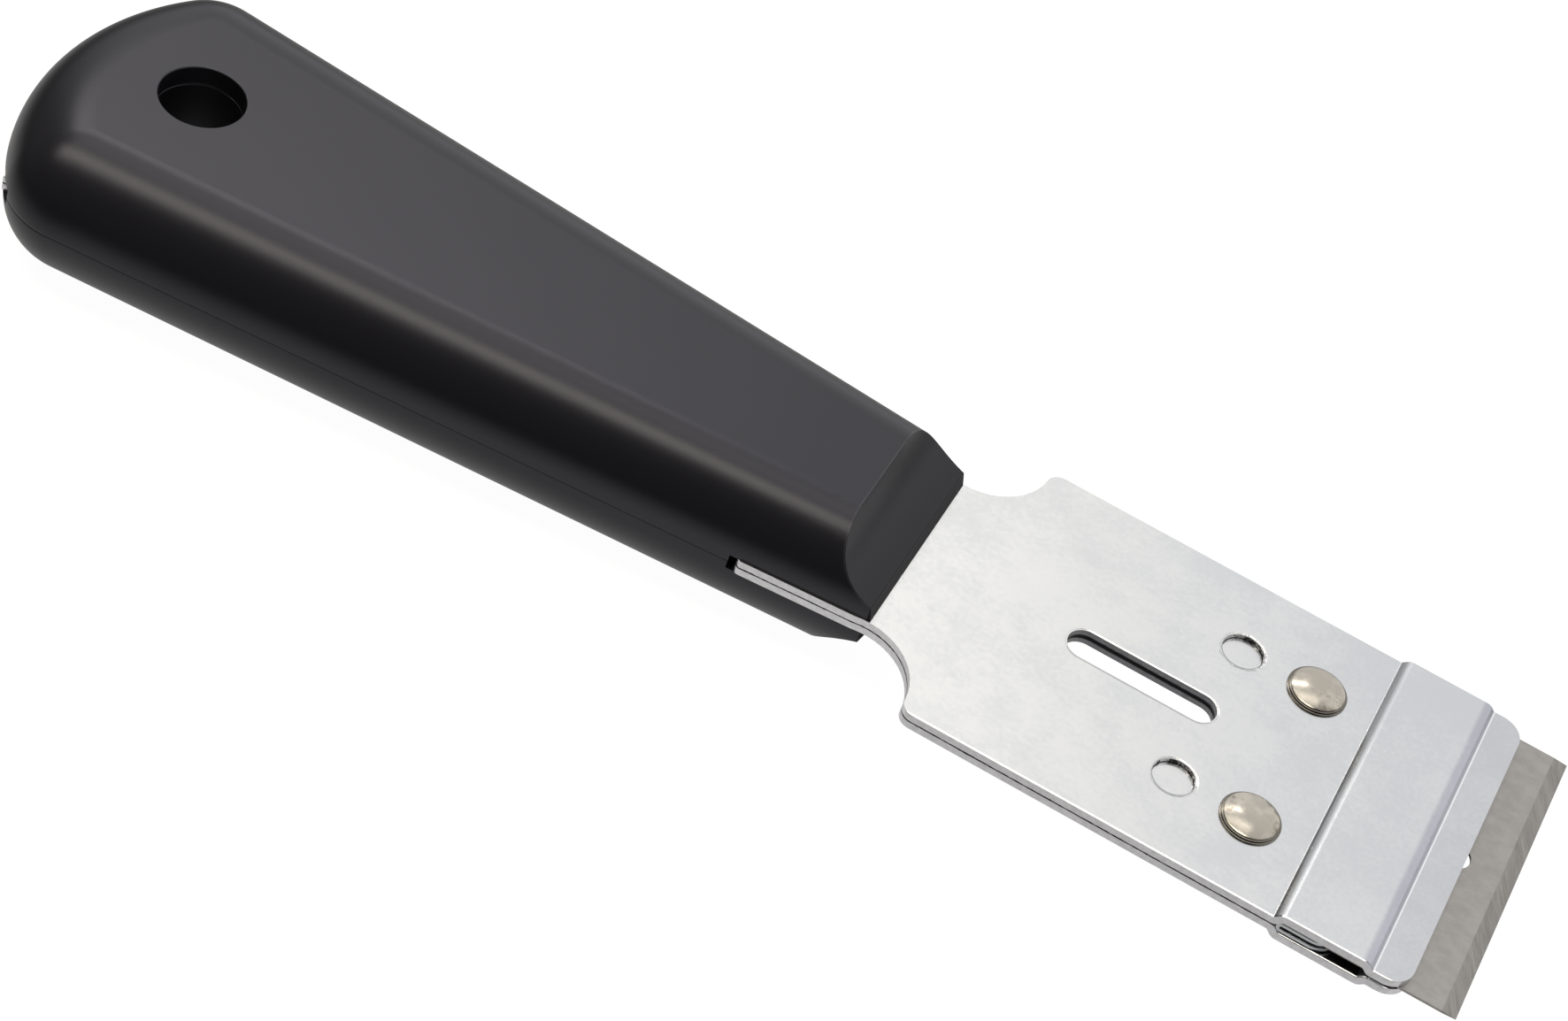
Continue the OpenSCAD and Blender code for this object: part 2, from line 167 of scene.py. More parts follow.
class Finish:  # the nodes of a material or of the world
    def __init__(self, owner, shader="Principled BSDF", coordinates="Object", **fixed):
        owner.use_nodes = True
        self.owner = owner
        self.tree = owner.node_tree
        self.shader = self.tree.nodes[shader]
        self.place = self.add("ShaderNodeTexCoord", out=coordinates)
        self.feed(**fixed)

    def add(self, kind, sockets=None, out=0, **settings):
        # the one way to any node: its type, its sockets' values or links, and its settings, set first
        node = self.tree.nodes.new(kind)
        for key, value in settings.items():
            setattr(node, key, value)
        for key, value in (sockets or {}).items():
            self.join(node.inputs[key], value)
        return Wire(self, node.outputs[out])

    def join(self, entry, value):
        if isinstance(value, Wire):
            self.tree.links.new(value.socket, entry)
        elif entry.type == "RGBA":
            entry.default_value = (*value, 1)
        else:
            entry.default_value = value

    def feed(self, **values):
        for key, value in values.items():
            self.join(self.shader.inputs[key.replace("_", " ")], value)

    def cover(self, share, shader):
        # another shader over the main one
        under = Wire(self, self.shader.outputs[0])
        both = self.add("ShaderNodeMixShader", {0: share, 1: under, 2: shader})
        self.join(self.tree.nodes["Material Output"].inputs["Surface"], both)

    def axis(self, name, vector=None):
        return self.add("ShaderNodeSeparateXYZ", {"Vector": vector or self.place}, out=name)

    def along(self, name):
        # place along X, Y or Z in millimetres
        return self.axis(name) * (1 / millimetre)

    def level(self):
        # 1 on a level face and 0 on an upright one
        return abs(self.axis("Z", self.add("ShaderNodeNewGeometry", out="Normal")))

    def squeezed(self, scale, shift=(0, 0, 0)):
        return self.add("ShaderNodeMapping", {"Vector": self.place, "Scale": scale, "Location": shift})

    def slanted(self, longer, slant):
        # drawn out this many times along a line that is turned this many degrees from X
        return self.add("ShaderNodeMapping", {"Vector": self.place, "Scale": (longer, 1, 1),
                                              "Rotation": (0, 0, radians(slant))}, vector_type="TEXTURE")

    def noise(self, scale, detail, roughness, vector=None):
        return self.add("ShaderNodeTexNoise", {"Vector": vector or self.place, "Scale": scale,
                                               "Detail": detail, "Roughness": roughness})

    def ramp(self, value, low, high, outLow=0.0, outHigh=1.0):
        sockets = {"Value": value, "From Min": low, "From Max": high, "To Min": outLow, "To Max": outHigh}
        return self.add("ShaderNodeMapRange", sockets, interpolation_type="SMOOTHSTEP")

    def strip(self, value, rise, fall):
        # 1 between two places, with a soft rise and a soft fall
        return self.ramp(value, *rise) * (1 - self.ramp(value, *fall))

    def blend(self, share, first, second, way="MIX"):
        return self.add("ShaderNodeMix", {0: share, 6: first, 7: second}, out=2,
                        data_type="RGBA", blend_type=way)

    def bump(self, height, depth, strength, under=None):
        sockets = {"Height": height, "Distance": depth * millimetre, "Strength": strength}
        if under is not None:
            sockets["Normal"] = under
        return self.add("ShaderNodeBump", sockets)


def shade(colour, share):
    return tuple(channel * share for channel in colour)


def reach(first, second):
    # distance from where both are 0
    return (first ** 2 + second ** 2) ** 0.5


# satin black plastic of the grip

plastic = {
    "colour": (0.0090, 0.0080, 0.0105),
    "gloss": (0.90, 0.895, 1.0),  # tint of its reflections
    "refraction": 1.5,
    "rough": 0.32,
    # noises: scale per metre, detail and roughness
    "cloud": (45, 3, 0.5),
    "grain": (2600, 3, 0.6),
    "ragged": (420, 4, 0.7),
    "speck": (130, 5, 0.75),
    "speckAbove": (0.69, 0.74),  # of its noise
    "chipsAbove": (0.60, 0.66),  # of the ragged noise
    "grainDepth": 0.007,
    "raggedDepth": 0.08,
    "wearAndHighlight": (0.045, 0.045, 0.047),  # painted highlight along the scoop's crease, and the colour of the specks of wear
    "creaseHighlightLine": ((0.03, 0.08), (0.19, 0.26)),  # how far outside the scoop it starts and ends
    "creaseHighlightShare": 0.75,
    "speckShare": 0.3,
    "chips": (0.20, 0.22, 0.26),  # left by the mould at the foot of the nose
    "chipsBelow": (1.3, 2.1),  # above the middle plane
    "faceFrom": (-0.5, -0.4),  # the nose's front face, from the grip's front
    "mattRough": 0.6,
    "matt": 0.16,  # specular level of the nose's front face
    "scoopMatt": 0.42,  # share of it in the scoop
}


def makePlastic():
    p = plastic
    f = Finish(bpy.data.materials.new("satinBlackPlastic"), IOR=p["refraction"], Specular_Tint=p["gloss"])
    x = f.along("X")
    z = abs(f.along("Z") - tool["middle"])
    cloud = f.noise(*p["cloud"])
    grain = f.noise(*p["grain"])
    ragged = f.noise(*p["ragged"])
    speck = f.ramp(f.noise(*p["speck"]), *p["speckAbove"])
    # a painted highlight: a thin light line along the crease of the scoop; and a few specks of wear
    scoopAt, scoopUp = noseAxis()
    fromScoop = reach(x - scoopAt, z - scoopUp) - grip["scoop"]
    start, end = p["creaseHighlightLine"]
    paintedCrease = f.ramp(fromScoop, *start) * (1 - f.ramp(fromScoop + grain * 0.1, *end))
    colour = f.blend(cloud, shade(p["colour"], 0.9), shade(p["colour"], 1.1))
    colour = f.blend(paintedCrease * p["creaseHighlightShare"], colour, p["wearAndHighlight"])
    colour = f.blend(speck * p["speckShare"], colour, p["wearAndHighlight"])
    rough = cloud * 0.05 + grain * 0.06 + speck * 0.1 + (p["rough"] - 0.055)
    bump = f.bump(grain, p["grainDepth"], 0.5)
    f.feed(Base_Color=colour, Roughness=rough, Normal=bump)
    # the mould leaves the steep front face of the nose matt, and the scoop a little
    face = f.ramp(x + ragged * 0.1, *(at(grip["front"]) + place for place in p["faceFrom"]))
    chips = face * f.ramp(ragged, *p["chipsAbove"]) * (1 - f.ramp(z, *p["chipsBelow"]))
    dull = f.add("ShaderNodeBsdfPrincipled", {
        "Base Color": f.blend(chips, colour, p["chips"]),
        "Roughness": p["mattRough"],
        "Normal": f.bump(ragged, p["raggedDepth"], 0.6, bump),
        "Specular IOR Level": p["matt"],
    })
    scooped = 1 - f.ramp(abs(fromScoop), *start)
    f.cover(face + scooped * (1 - face) * p["scoopMatt"], dull)
    return f.owner


# grip: two moulded halves, joined round the tang; distances are back from the cutting edge

grip = {
    "height": 8.9,  # of each half
    "front": 69.9,
    "frontHalf": 12.2,
    "endHalf": 20.4,
    "endRound": 29.3,  # seen from above
    "frontEdge": 7.2,
    "endEdge": 8.6,
    "noseHeight": 1.7,
    "noseLean": 0.45,
    "scoopLength": 6.4,
    "scoop": 9.3,
    "scoopWide": 60,  # length of its cutter
    "creaseRound": 0.3,
    "footRound": 0.12,
    "seamRound": 0.07,
    "rimRound": 0.18,
    "holeAt": 159.2,
    "hole": 4.7,
    "tube": 6.4,
    "tubeDepth": 2.5,
    "tubeFit": 0.05,
    "past": 1,  # how far a cutter or a side runs past what it meets
    "scoopMerge": 0.01,  # points of the cut nose nearer than this are one point
    "onRound": 0.02,  # what is nearer than this to a round face lies on it
    # the scoop's edges that are rounded: those this near to its foot, and those this far above it
    "footWithin": 0.05,
    "creaseAbove": 0.4,
    # degrees: edges that are rounded at the seam and the hang hole, and those that look sharp
    "seamSharp": 30,
    "rimSharp": 50,
    "sharp": 40,
    # segments of each rounding, steps of each sweep, and corners of each round cutter
    "footSegments": 2,
    "creaseSegments": 4,
    "seamSegments": 2,
    "rimSegments": 4,
    "edgeSteps": 28,
    "buttSteps": 24,
    "cornerSteps": 30,
    "sideCuts": 30,
    "scoopCorners": 260,
    "holeCorners": 96,
}

seat = {
    "fit": 0.1,
    "rim": 2.2,  # plastic left beside the tang
    # the tang's wide front, which stands proud of the grip's sides
    "proud": 0.2,
    "wideLength": 16.2,  # with the room behind it
    "corner": 1.1,
    "cornerSteps": 8,
    "open": 2,  # how far the seat runs out of the grip's front
}

grip["endAt"] = tool["length"] - grip["endRound"]
cornerAngle = asin((grip["endHalf"] - grip["endEdge"]) / (grip["endRound"] - grip["endEdge"]))
cornerAt = grip["endAt"] + (grip["endRound"] - grip["endEdge"]) * cos(cornerAngle)
sideSlope = (grip["endHalf"] - grip["frontHalf"]) / (cornerAt - grip["front"])


def sideHalf(distance):
    return grip["frontHalf"] + (distance - grip["front"]) * sideSlope


def noseAxis():
    # centre line of the hollow across the nose, as place along and height above the middle
    foot = Vector((at(grip["front"]) - grip["noseLean"], 0, tool["platesHalf"] + grip["noseHeight"]))
    brow = Vector((at(grip["front"]) - grip["scoopLength"], 0, grip["height"]))
    chord = brow - foot
    rise = sqrt(grip["scoop"] ** 2 - chord.length_squared / 4)
    axis = (foot + brow) / 2 + rise / chord.length * Vector((chord.z, 0, -chord.x))
    return axis.x, axis.z


def edgeProfile(bm, foot, radius, inward, axis):
    # a short upright from the seam, and the quarter round above it
    top = grip["height"] - radius
    first = bmesh.ops.create_vert(bm, co=(*foot, 0))["vert"][0]
    last = extendTo(bm, first, [(*foot, top)])
    centre = (foot[0] + inward[0] * radius, foot[1] + inward[1] * radius, top)
    bmesh.ops.spin(bm, geom=[last], cent=centre, axis=axis, angle=radians(90), steps=grip["edgeSteps"])
    chain, edges = [first], []
    while True:
        ahead = [e for e in chain[-1].link_edges if e not in edges]
        if not ahead:
            return chain, edges
        edges.append(ahead[0])
        chain.append(ahead[0].other_vert(chain[-1]))


def cutOff(bm, point, normal):
    cut = bmesh.ops.bisect_plane(bm, geom=allOf(bm), plane_co=point, plane_no=normal, clear_outer=True)
    bmesh.ops.contextual_create(bm, geom=[e for e in cut["geom_cut"] if isinstance(e, bmesh.types.BMEdge)])


def closeBlank(bm, front):
    # the level face above, the seam's face below, and the upright one at the front
    for z in (grip["height"], 0):
        level = [e for e in bm.edges
                 if e.is_boundary and all(abs(v.co.z - z) < tool["same"] for v in e.verts)]
        ends = [v for v in bm.verts if abs(v.co.z - z) < tool["same"] and abs(v.co.x - front) < tool["same"]]
        joint = bmesh.ops.contextual_create(bm, geom=ends)["edges"]
        bmesh.ops.contextual_create(bm, geom=level + joint)
    bmesh.ops.contextual_create(bm, geom=[e for e in bm.edges if e.is_boundary])
    bmesh.ops.recalc_face_normals(bm, faces=bm.faces[:])


def gripBlank():
    g = grip
    bm = bmesh.new()
    # butt, then its corner, swept round from one edge profile
    end = at(g["endAt"])
    chain, edges = edgeProfile(bm, (end - g["endRound"], 0), g["endEdge"], (1, 0), (0, 1, 0))
    butt = bmesh.ops.spin(bm, geom=chain + edges, cent=(end, 0, 0), axis=(0, 0, 1), angle=-cornerAngle,
                          steps=g["buttSteps"])
    turn = radians(90) - cornerAngle + atan2(sideSlope, 1)
    corner = bmesh.ops.spin(bm, geom=butt["geom_last"], cent=(at(cornerAt), g["endHalf"] - g["endEdge"], 0),
                            axis=(0, 0, 1), angle=-turn, steps=g["cornerSteps"])
    rear = [e for e in corner["geom_last"] if isinstance(e, bmesh.types.BMEdge)]
    # the tapered side runs on a little past the front, which is cut afterwards
    past = g["front"] - g["past"]
    chain, edges = edgeProfile(bm, (at(past), sideHalf(past)), g["frontEdge"], (0, -1), (1, 0, 0))
    side = bmesh.ops.bridge_loops(bm, edges=rear + edges)
    long = [e for e in side["edges"] if e.calc_length() > (cornerAt - past) / 2]
    bmesh.ops.subdivide_edges(bm, edges=long, cuts=g["sideCuts"], use_grid_fill=True)
    mirrorAcross(bm)
    closeBlank(bm, at(past))
    # the steep low face of the nose
    cutOff(bm, (at(g["front"]), 0, tool["platesHalf"]), (g["noseHeight"], 0, g["noseLean"]))
    return toObject(bm, "blank", 1, 0)


def scoopRim(bm, axis):
    # edges between the hollow and the faces beside it
    def onScoop(vert):
        return abs((vert.co.xz - axis.xz).length - grip["scoop"]) < grip["onRound"]

    hollow = {face for face in bm.faces if all(map(onScoop, face.verts))}
    return [e for e in bm.edges if len(hollow.intersection(e.link_faces)) == 1]


def scoopNose(piece):
    # a hollow cut across the top of the nose, its crease and the seam rounded
    g = grip
    along, up = noseAxis()
    axis = Vector((along, 0, up))
    footHeight = tool["platesHalf"] + g["noseHeight"]
    bm = bmesh.new()
    across = Matrix.Translation(axis) @ Matrix.Rotation(radians(90), 4, "X")
    bmesh.ops.create_cone(bm, cap_ends=True, segments=g["scoopCorners"], radius1=g["scoop"],
                          radius2=g["scoop"], depth=g["scoopWide"], matrix=across)
    combine(piece, toObject(bm, "cutter", 1, 0), "DIFFERENCE")
    bm = bmesh.new()
    bm.from_mesh(piece.data)
    bpy.data.objects.remove(piece)
    bmesh.ops.remove_doubles(bm, verts=bm.verts[:], dist=g["scoopMerge"])
    low = [e for e in scoopRim(bm, axis) if all(abs(v.co.z - footHeight) < g["footWithin"] for v in e.verts)]
    roundEdges(bm, low, g["footRound"], g["footSegments"])
    high = [e for e in scoopRim(bm, axis) if any(v.co.z > footHeight + g["creaseAbove"] for v in e.verts)]
    roundEdges(bm, high, g["creaseRound"], g["creaseSegments"])
    seam = [e for e in sharpEdges(bm, g["seamSharp"]) if all(abs(v.co.z) < tool["same"] for v in e.verts)]
    roundEdges(bm, seam, g["seamRound"], g["seamSegments"])
    return bm


def upright(radius, low, high):
    # a round post on the hang hole's axis, which is cut away or added
    bm = bmesh.new()
    middle = Matrix.Translation((at(grip["holeAt"]), 0, (low + high) / 2))
    bmesh.ops.create_cone(bm, cap_ends=True, segments=grip["holeCorners"], radius1=radius, radius2=radius,
                          depth=high - low, matrix=middle)
    return toObject(bm, "cutter")


def seatCutter():
    # the room of the tang: inside a rim at the rear, and open at the sides and front where it is wide
    s = seat
    half = grip["endHalf"] - s["rim"] + s["fit"]
    wider = s["proud"] + s["fit"]
    back = grip["front"] + s["wideLength"]
    past = tool["length"] + grip["past"]
    mouth = at(grip["front"]) + s["open"]
    bm = bmesh.new()
    first = bmesh.ops.create_vert(bm, co=(at(past), 0, 0))["vert"][0]
    extendTo(bm, first, [
        (at(past), half, 0),
        (at(cornerAt), half, 0),
        (at(back), sideHalf(back) - s["rim"] + s["fit"], 0),
        (at(back), sideHalf(back) + wider, 0),
        (mouth, sideHalf(grip["front"]) + wider, 0),
        (mouth, 0, 0),
    ])
    corner = [v for v in bm.verts if abs(v.co.x - at(back)) < tool["same"] and v.co.y > sideHalf(back)]
    bmesh.ops.bevel(bm, geom=corner, offset=s["corner"], segments=s["cornerSteps"], profile=0.5,
                    affect="VERTICES", material=-1)
    mirrorAcross(bm)
    face = bmesh.ops.contextual_create(bm, geom=bm.edges[:])["faces"]
    bmesh.ops.translate(bm, verts=bm.verts[:], vec=(0, 0, -tool["platesHalf"]))
    lifted = bmesh.ops.extrude_face_region(bm, geom=face)
    top = [v for v in lifted["geom"] if isinstance(v, bmesh.types.BMVert)]
    bmesh.ops.translate(bm, verts=top, vec=(0, 0, 2 * tool["platesHalf"]))
    return toObject(bm, "cutter")


def roundRims(piece):
    # the hang hole's rims in a finished half, which is in metres
    g = grip
    bm = bmesh.new()
    bm.from_mesh(piece.data)
    bmesh.ops.remove_doubles(bm, verts=bm.verts[:], dist=tool["merge"] * millimetre)
    hole = Vector((at(g["holeAt"]) * millimetre, 0))
    radius, within = g["hole"] * millimetre, g["onRound"] * millimetre
    rims = [e for e in sharpEdges(bm, g["rimSharp"])
            if all(abs((v.co.xy - hole).length - radius) < within for v in e.verts)]
    roundEdges(bm, rims, g["rimRound"] * millimetre, g["rimSegments"])
    bm.to_mesh(piece.data)
    bm.free()


def makeGrip(finish):
    g = grip
    top, past = g["height"], g["height"] + g["past"]
    tubeTop = top - g["tubeDepth"]
    upper = toObject(scoopNose(gripBlank()), "gripUpper")
    combine(upper, upright(g["tube"] + g["tubeFit"], -g["past"], tubeTop + g["tubeFit"]), "DIFFERENCE")
    combine(upper, upright(g["hole"], 0, past), "DIFFERENCE")
    combine(upper, seatCutter(), "DIFFERENCE")

    blank = scoopNose(gripBlank())
    bmesh.ops.scale(blank, verts=blank.verts[:], vec=(1, 1, -1))
    lower = toObject(blank, "gripLower")
    combine(lower, seatCutter(), "DIFFERENCE")
    combine(lower, upright(g["tube"], -top / 2, tubeTop), "UNION")
    combine(lower, upright(g["hole"], -past, past), "DIFFERENCE")
    for half, node in ((upper, "grip_upper"), (lower, "grip_lower")):
        roundRims(half)
        smoothFaces(half, g["sharp"])
        dress(half, node, finish)


makeGrip(makePlastic())
print("grip made")


# bright plated steel of the plates; places are along X and Y from the tool's middle

plating = {
    "rear": (0.79, 0.79, 0.78),
    "foreShade": (0.635, 0.645, 0.665),  # painted shade, darkest by the pocket and on the far side
    "foreFrom": (12, 85),
    "foreSlant": 0.35,
    # painted shade over the lips
    "lips": (0.545, 0.555, 0.58),
    "lipsFrom": (78.9, 79.2),
    "lipsShare": 0.6,
    "stepShade": (0.485, 0.49, 0.54),  # painted shade on the step between the pocket and the lips
    "stepShadeStrip": ((77.5, 78.1), (79.0, 79.2)),
    "line": (0.95, 0.95, 0.96),  # painted highlight line in front of the step
    "lineStrip": ((79.05, 79.15), (79.2, 79.3)),
    "lineShare": 0.8,
    "slope": (0.95, 0.965, 0.99),  # painted highlight behind the pocket, most of all on the near side
    "slopeStrip": ((68.4, 68.7), (69.0, 69.4)),
    "slopeShare": (-8, 14, 0.24, 0.0),  # across, and how much there
    # painted shade in the concave bend behind the pocket
    "bend": (0.05, 0.055, 0.06),
    "bendAt": 68.29,
    "bendShare": (-4, 14, 0.62, 0.2),
    "bright": (0.97, 0.97, 0.97),  # painted highlight on the arrises, and painted glints along the bend
    # painted shade in a ring round each hole's rim
    "rimShade": (0.04, 0.04, 0.045),
    "seamShade": (0.02, 0.02, 0.02),  # painted shade where the plates meet
    "clouds": ((0.93, 0.935, 0.94), (1.025, 1.02, 1.01)),
    "sheared": (0.78, 0.775, 0.80),  # the cut edges outside
    "wallShade": (0.21, 0.21, 0.22),  # painted shade on the walls of the slot and holes
    "wallLightAndShade": ((0.10, 0.10, 0.105), (0.85, 0.85, 0.86)),  # painted light and shade in patches on the walls of the round holes
    "rough": 0.25,
    "rim": 20.8,  # half of the plates' width
    "wallsWithin": (13.5, 14.5),  # across, the slot's and holes' walls lie inside this
    "wallsFrom": (31, 33),  # and along from here
    "slotAt": 45.1,
    "slotStraight": 6.65,  # half of it
    "slotHalf": 2.0,
    "holeAt": 52.95,
    "holeSide": 10.5,
    "hole": 2.32,
    "seam": 0.30,  # half of the painted shade line inside the slot and holes
    "seamLess": 0.21,  # by so much it is finer outside
    "shadedRoundings": (0.16, 0.19),  # the inner ones, painted dark as shade between the plates, end at this height
    "upright": (0.2, 0.4),  # how level a face may be to pass for a wall
    "arris": (0.9, 0.985),  # and to pass for a rounded edge
    "face": (0.98, 1.02),  # height of the plates' faces where they aren't bent
    # noises: scale per metre, detail and roughness
    "cloud": (60, 4, 0.55),
    "blotch": (210, 3, 0.6),
    "grain": (3800, 2, 0.5),
    "fleck": (1700, 3, 0.65),
    "wavy": (1400, 3, 0.7),
    "glintSpeck": (2300, 2, 0.6),
    "cloudDepth": 0.25,
    "grainDepth": 0.0018,
    "rollDepth": 0.1,
}


def plateToneWithPaintedLight(f, x, side, noise):
    # the tone along the plates, with painted shade darker towards the pocket, the lips and the far side, a
    # painted shade strip on the step and a painted highlight line in front of it; cloudy all over
    p = plating
    tone = f.blend(f.ramp(x + side * p["foreSlant"], *p["foreFrom"]), p["rear"], p["foreShade"])
    tone = f.blend(f.ramp(x, *p["lipsFrom"]) * p["lipsShare"], tone, p["lips"])
    tone = f.blend(f.strip(x, *p["stepShadeStrip"]), tone, p["stepShade"])
    tone = f.blend(f.strip(x, *p["lineStrip"]) * p["lineShare"], tone, p["line"])
    cloudy = f.ramp(noise["cloud"] * 0.42 + noise["blotch"] * 0.28 + noise["fleck"] * 0.3, 0.4, 0.6)
    return f.blend(1.0, tone, f.blend(cloudy, *p["clouds"]), "MULTIPLY")


def platePaintedLight(f, tone, x, side, toHole, noise):
    # painted light and shade: a highlight on the slope behind the pocket, shade in the bend with glints along
    # it, and shade round the holes' rims
    p = plating
    paintedCrease = 1 - f.ramp(abs(x - p["bendAt"]) + noise["wavy"] * 0.06, 0.06, 0.22)
    # painted glints: bright specks just past the bend
    glintSpeck = f.ramp(f.noise(*p["glintSpeck"]), 0.67, 0.72) * (1 - f.ramp(abs(x - p["bendAt"] - 0.2), 0.2, 0.4))
    rimShade = 1 - f.ramp(abs(toHole - 0.05) + noise["wavy"] * 0.1, 0.08, 0.14)
    tone = f.blend(f.strip(x, *p["slopeStrip"]) * f.ramp(side, *p["slopeShare"]), tone, p["slope"])
    tone = f.blend(paintedCrease * f.ramp(side, *p["bendShare"]), tone, p["bend"])
    tone = f.blend(glintSpeck, tone, p["bright"])
    return f.blend(rimShade * 0.5, tone, p["rimShade"])


def plateCutsAndPaintedLight(f, x, side, z, toHole, noise):
    # sheared edges outside, painted shade on the walls inside, and a painted shade line where the plates meet
    p = plating
    outside = f.ramp(abs(side), *p["wallsWithin"])
    outside = outside + (1 - outside) * (1 - f.ramp(x, *p["wallsFrom"]))
    flecks = f.ramp(noise["fleck"], 0.3, 0.7)
    sheared = f.blend(flecks, shade(p["sheared"], 0.85), p["sheared"])
    cut = f.blend(outside, f.blend(flecks, shade(p["wallShade"], 0.8), p["wallShade"]), sheared)
    ring = (1 - outside) * (1 - f.ramp(toHole, 0.4, 0.6))
    cut = f.blend(ring, cut, f.blend(f.ramp(noise["wavy"], 0.44, 0.54), *p["wallLightAndShade"]))
    height = z + (noise["wavy"] - 0.5) * 0.2 + outside * p["seamLess"]
    return f.blend(1 - f.ramp(height, p["seam"] - 0.04, p["seam"] + 0.04), cut, p["seamShade"])


def plateRoll(f, x, side, toHole, noise):
    # every edge rolls over a little towards its cut, the far hole's most unevenly
    p = plating
    beyond = (abs(x - p["slotAt"]) - p["slotStraight"]).atLeast(0.0)
    toSlot = reach(beyond, side) - p["slotHalf"]
    uneven = (noise["wavy"] - 0.5) * (0.12 + f.ramp(side, 0, 1) * 0.5)
    roll = f.ramp(toHole + uneven, 0.02, 0.4, 0.0, 1.3)
    return roll + f.ramp(toSlot, 0.02, 0.3) + f.ramp(side + p["rim"], 0.02, 0.3)


def makePlating():
    p = plating
    f = Finish(bpy.data.materials.new("brightPlatedSteel"), Metallic=1.0)
    x = f.along("X")
    side = f.along("Y")
    z = abs(f.along("Z") - tool["middle"])
    noise = {name: f.noise(*p[name]) for name in ("cloud", "blotch", "grain", "fleck", "wavy")}
    toHole = reach(x - p["holeAt"], abs(side) - p["holeSide"]) - p["hole"]
    level = f.level()
    wall = 1 - f.ramp(level, *p["upright"])
    arris = f.strip(level, p["upright"], p["arris"]) * (1 - f.ramp(z, *p["face"]))
    tone = platePaintedLight(f, plateToneWithPaintedLight(f, x, side, noise), x, side, toHole, noise)
    # a painted highlight on the rounded edges
    tone = f.blend(arris * 0.8, tone, p["bright"])
    # painted shade on the inner faces between the plates
    tone = f.blend(1 - f.ramp(z, *p["shadedRoundings"]), tone, p["seamShade"])
    rolled = f.bump(plateRoll(f, x, side, toHole, noise), p["rollDepth"], 1.0)
    grained = f.bump(noise["grain"], p["grainDepth"], 0.4, rolled)
    rough = noise["blotch"] * 0.08 + noise["grain"] * 0.05 + wall * 0.1 + arris * 0.17 + (p["rough"] - 0.065)
    f.feed(Base_Color=f.blend(wall, tone, plateCutsAndPaintedLight(f, x, side, z, toHole, noise)), Roughness=rough,
           Normal=f.bump(noise["cloud"], p["cloudDepth"], 0.25, grained))
    return f.owner


# spring steel of the leaf

spring = {
    "colour": (0.60, 0.62, 0.65),
    "rough": 0.26,
    "streak": (900, 3, 0.5),  # scale per metre, detail and roughness
    "squeeze": (0.15, 1, 1),
    "streakDepth": 0.004,
}


def makeSpring():
    s = spring
    f = Finish(bpy.data.materials.new("springSteel"), Metallic=1.0)
    streak = f.noise(*s["streak"], f.squeezed(s["squeeze"]))
    f.feed(Base_Color=f.blend(streak, shade(s["colour"], 0.88), s["colour"]),
           Roughness=streak * 0.12 + (s["rough"] - 0.06),
           Normal=f.bump(streak, s["streakDepth"], 0.4))
    return f.owner


# ground steel of the blade

bladeLook = {
    "colour": (0.366, 0.346, 0.329),
    "band": (0.275, 0.262, 0.248),  # the ground strip along the cutting edge
    "bandWidth": 1.6,
    "pale": (0.6, 0.58, 0.56),  # a faint strip behind the band
    "paleFrom": (3.1, 2.9),  # back from the cutting edge
    "paleShare": 0.04,
    "boreShade": (0.04, 0.04, 0.04),  # painted shade on the wall of the hole
    "boreSide": (3, 4),
    "boreFrom": (3, 2),  # back from the cutting edge
    "upright": (0.2, 0.4),  # how level a face may be to pass for its wall
    "slant": -64.0,  # of the grinding marks, in degrees from the tool's length
    # noises: scale per metre, detail and roughness
    "marks": (1500, 4, 0.7),
    "fine": (4200, 3, 0.6),
    "rolled": (800, 4, 0.65),
    "marksLonger": 8.0,
    "fineLonger": 18.0,
    "rolledSqueeze": (0.6, 1, 1),
    "depth": 0.01,
    "rough": 0.36,
}


def makeBladeSteel():
    b = bladeLook
    f = Finish(bpy.data.materials.new("groundBladeSteel"), Metallic=1.0)
    x = f.along("X")
    marks = f.noise(*b["marks"], f.slanted(b["marksLonger"], b["slant"]))
    fine = f.noise(*b["fine"], f.slanted(b["fineLonger"], b["slant"]))
    rolled = f.noise(*b["rolled"], f.squeezed(b["rolledSqueeze"]))
    bandFrom = at(b["bandWidth"])
    band = f.ramp(x, bandFrom - 0.06, bandFrom + 0.06)
    pale = f.ramp(x, *map(at, b["paleFrom"])) * (1 - band)
    body = f.blend(f.ramp(rolled, 0.3, 0.7), shade(b["colour"], 0.86), b["colour"])
    body = f.blend(pale * b["paleShare"], body, b["pale"])
    scratched = f.ramp(marks * 0.6 + fine * 0.4, 0.35, 0.65)
    ground = f.blend(scratched, shade(b["band"], 0.84), shade(b["band"], 1.16))
    inside = (1 - f.ramp(abs(f.along("Y")), *b["boreSide"])) * (1 - f.ramp(x, *map(at, b["boreFrom"])))
    boreShade = (1 - f.ramp(f.level(), *b["upright"])) * inside
    f.feed(Base_Color=f.blend(boreShade, f.blend(band, body, ground), b["boreShade"]),
           Roughness=rolled * 0.06 + fine * 0.08 + band * 0.05 + (b["rough"] - 0.07),
           Normal=f.bump(fine * band + rolled * 0.15, b["depth"], 0.5))
    return f.owner


# steel parts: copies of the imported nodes, merged, with their sheared edges rounded

steel = {
    # each one's roundings: width, segments, and the least angle in degrees of the edges that get them
    "plate": (0.13, 3, 33),
    "leaf": (0.06, 3, 33),
    "blade": (0.012, 2, 50),
    "flat": 0.3,  # degrees, below which two faces are made one
    "sharp": 60,  # degrees, above which an edge looks sharp
}


